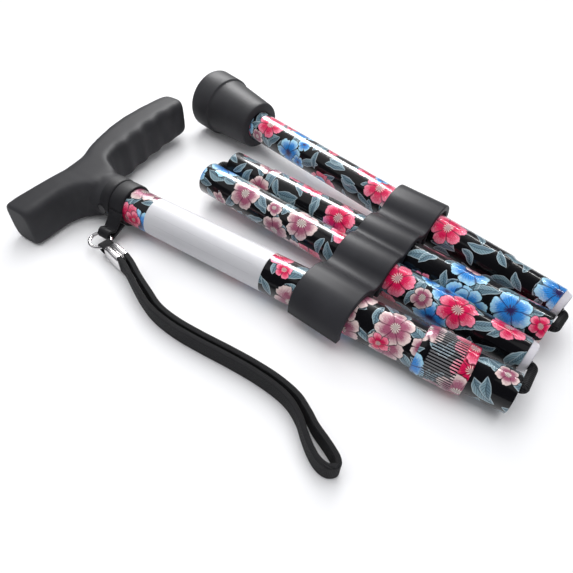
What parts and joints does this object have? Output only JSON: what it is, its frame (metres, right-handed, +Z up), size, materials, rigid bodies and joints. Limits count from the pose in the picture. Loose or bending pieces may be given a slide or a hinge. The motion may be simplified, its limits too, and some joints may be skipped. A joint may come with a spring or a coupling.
{
  "type": "folding walking cane",
  "caption": "Folding walking cane with a moulded grip, printed tubes on an elastic cord, a twist lock ring, a wrist strap, a rubber tip and a clip that holds it folded.",
  "frame": {"origin": "on the floor under the middle of the folded cane's box, as it lies on its side", "axes": "+X along the upper tube from the grip to the extension tube, +Y towards the rubber tip, +Z up"},
  "size_m": [0.2941, 0.2177, 0.042],
  "materials": {
    "grip": "matte moulded",
    "clip": "satin moulded",
    "print": "glossy printed film",
    "ring_print": "glossy printed plastic",
    "label": "plain silvery film",
    "band": "smooth",
    "tape": "woven tape",
    "chrome": "polished",
    "steel": "plated",
    "nylon": "natural nylon",
    "plug": "pale translucent",
    "cord": "braided cover",
    "rubber": "matte moulded"
  },
  "bodies": {
    "handle_section": {"handle": "grip", "handle_screw": "steel", "upper_tube": "print", "label": "label", "strap_collar": "band", "strap_ring": "chrome", "strap_link": "tape", "strap_crimp": "chrome", "wrist_strap": "tape", "lock_bush": "nylon"},
    "lock_collar": {"lock_ring": "ring_print"},
    "extension": {"extension_tube": "print", "guide_plug": "nylon", "cord_pin": "steel", "cord_upper": "cord", "button_spring": "steel"},
    "button": {"height_button": "steel"},
    "upper_link": {"cord_bend_upper": "cord"},
    "upper_middle_section": {"upper_middle_tube": "print", "upper_joint_plug": "plug", "cord_upper_middle": "cord"},
    "middle_link": {"cord_bend_middle": "cord"},
    "lower_middle_section": {"lower_middle_tube": "print", "middle_joint_plug": "plug", "cord_lower_middle": "cord"},
    "lower_link": {"cord_bend_lower": "cord"},
    "tip_section": {"tip_tube": "print", "lower_joint_plug": "plug", "cord_tip": "cord", "cord_anchor": "steel", "rubber_tip": "rubber", "tip_washer": "steel"},
    "clip": {"storage_clip": "clip"}
  },
  "joints": [
    {"name": "lock_twist", "type": "hinge", "parent": "handle_section", "child": "lock_collar", "pos_m": [0.10338, -0.04781, 0.01258], "axis": [0.9999, 0, -0.0102], "range_deg": [0, 180]},
    {"name": "height", "type": "slide", "parent": "handle_section", "child": "extension", "axis": [0.9999, 0, -0.0102], "range_m": [0, 0.096]},
    {"name": "button_press", "type": "slide", "parent": "extension", "child": "button", "axis": [0.0102, -0.0493, 0.9987], "range_m": [0, 0.0035], "stiffness_N_per_m": 600, "springref_m": -0.002, "deforming": ["button_spring"]},
    {"name": "unfold", "type": "hinge", "parent": "extension", "child": "upper_link", "pos_m": [0.13638, -0.03658, 0.0128], "axis": [-0.0102, 0.0493, -0.9987], "range_deg": [0, 173.5], "deforming": ["cord_upper", "cord_upper_middle", "cord_lower_middle", "cord_tip", "cord_bend_upper", "cord_bend_middle", "cord_bend_lower", "storage_clip"]},
    {"name": "seat", "type": "slide", "parent": "upper_link", "child": "upper_middle_section", "axis": [0.9935, -0.1131, -0.0157], "range_m": [0, 0.0334]},
    {"name": "unfold_middle", "type": "hinge", "parent": "upper_middle_section", "child": "middle_link", "pos_m": [-0.06754, 0.008, 0.01708], "axis": [0.0102, -0.0493, 0.9987], "range_deg": [0, 180]},
    {"name": "seat_middle", "type": "slide", "parent": "middle_link", "child": "lower_middle_section", "axis": [-0.9935, 0.1131, 0.0157], "range_m": [0, 0.0334]},
    {"name": "unfold_lower", "type": "hinge", "parent": "lower_middle_section", "child": "lower_link", "pos_m": [0.14107, 0.00436, 0.01477], "axis": [-0.0102, 0.0493, -0.9987], "range_deg": [0, 173.5]},
    {"name": "seat_lower", "type": "slide", "parent": "lower_link", "child": "tip_section", "axis": [0.9742, -0.2247, -0.021], "range_m": [0, 0.0334]},
    {"name": "clip_lift", "type": "slide", "parent": "extension", "child": "clip", "axis": [0.0102, -0.0493, 0.9987], "range_m": [0, 0.04]}
  ],
  "couplings": [
    {"joint": "unfold_middle", "follows": "unfold", "ratio": 1.0375},
    {"joint": "unfold_lower", "follows": "unfold", "ratio": 1},
    {"joint": "seat_middle", "follows": "seat", "ratio": 1},
    {"joint": "seat_lower", "follows": "seat", "ratio": 1}
  ]
}
